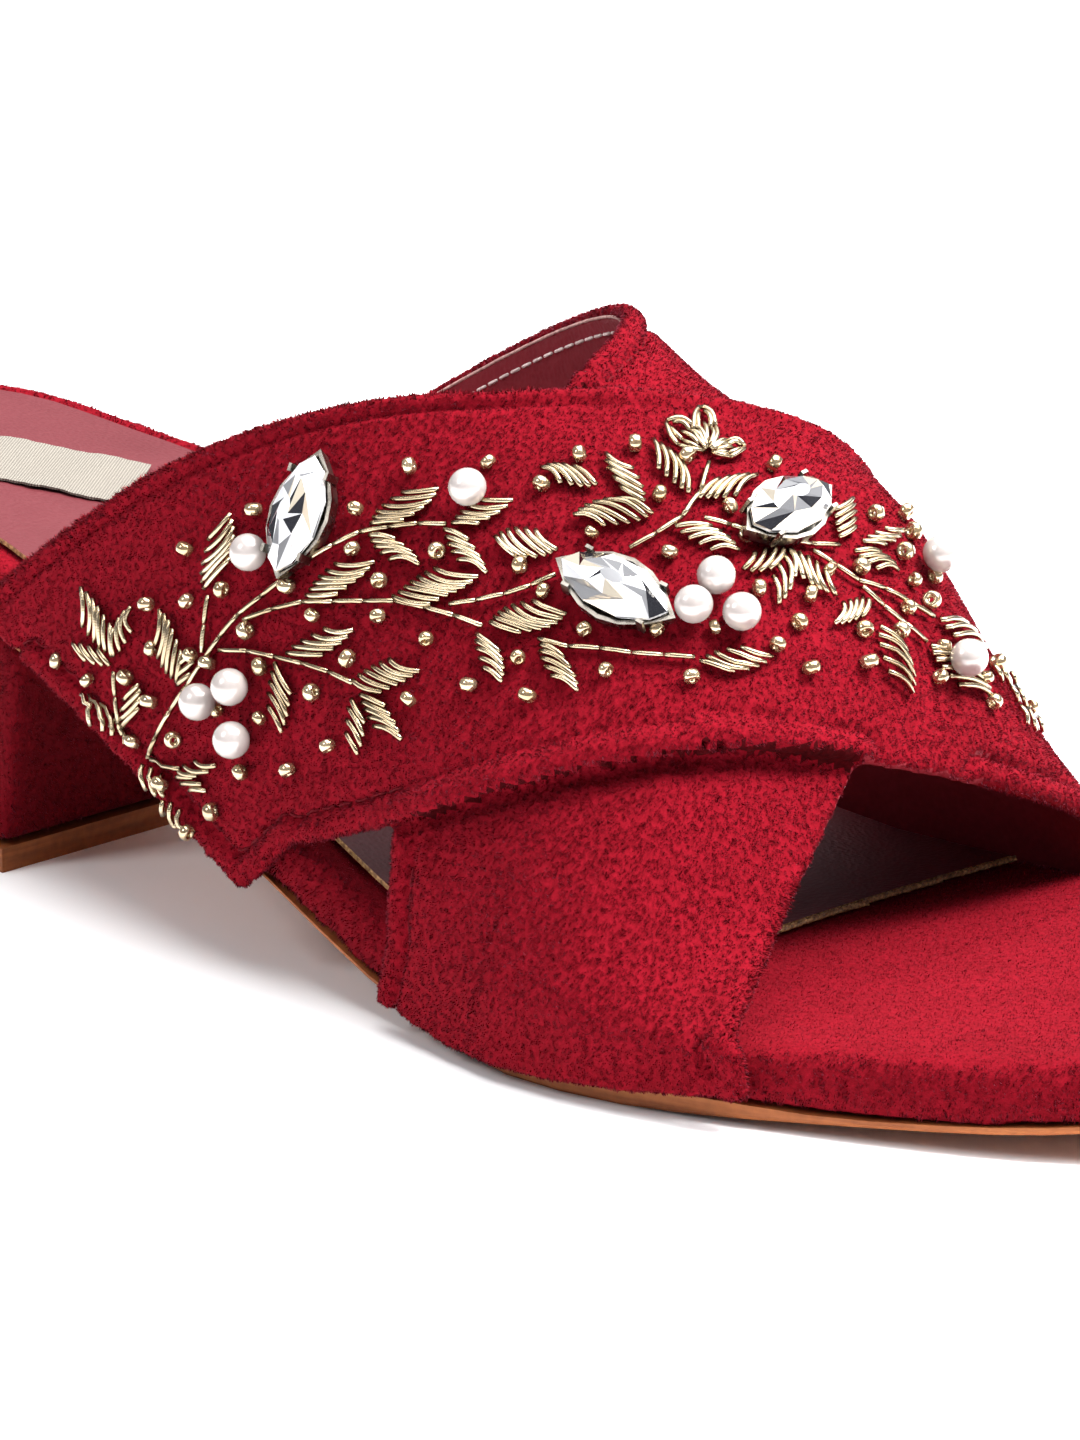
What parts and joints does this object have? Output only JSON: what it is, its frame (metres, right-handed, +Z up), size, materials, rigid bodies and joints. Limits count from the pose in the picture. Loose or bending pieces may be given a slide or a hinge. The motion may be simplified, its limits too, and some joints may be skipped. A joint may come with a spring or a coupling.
{
  "type": "cross-strap mule shoe",
  "caption": "Right women's block-heel mule with velvet straps crossing over the foot, the upper one set with stones and pearls, on a padded footbed.",
  "frame": {"origin": "on the floor, under the middle of the shoe's box", "axes": "+X towards the toe, +Y towards the inner side of the foot, +Z up"},
  "size_m": [0.2356, 0.0888, 0.0709],
  "materials": {
    "velvet": "plush crimson velvet pile",
    "sock_leather": "smooth dusty maroon lining leather",
    "outsole": "tan waxed sole edge",
    "gold_cord": "braided metallic gold cord",
    "ribbon": "bare cream woven ribbon",
    "setting": "pale antique gold plated claw setting",
    "crystal": "clear faceted crystal with a mirror back",
    "pearl": "white imitation pearl"
  },
  "bodies": {
    "root": {"outsole": "outsole", "footbed": "velvet", "sock": "sock_leather", "sock_cord": "gold_cord", "label": "ribbon", "heel_block": "velvet", "heel_top_piece": "outsole", "upper": "velvet", "setting_1": "setting", "setting_2": "setting", "setting_3": "setting", "crystal_1": "crystal", "crystal_2": "crystal", "crystal_3": "crystal", "pearl_01": "pearl", "pearl_02": "pearl", "pearl_03": "pearl", "pearl_04": "pearl", "pearl_05": "pearl", "pearl_06": "pearl", "pearl_07": "pearl", "pearl_08": "pearl", "pearl_09": "pearl", "pearl_10": "pearl"}
  },
  "joints": []
}
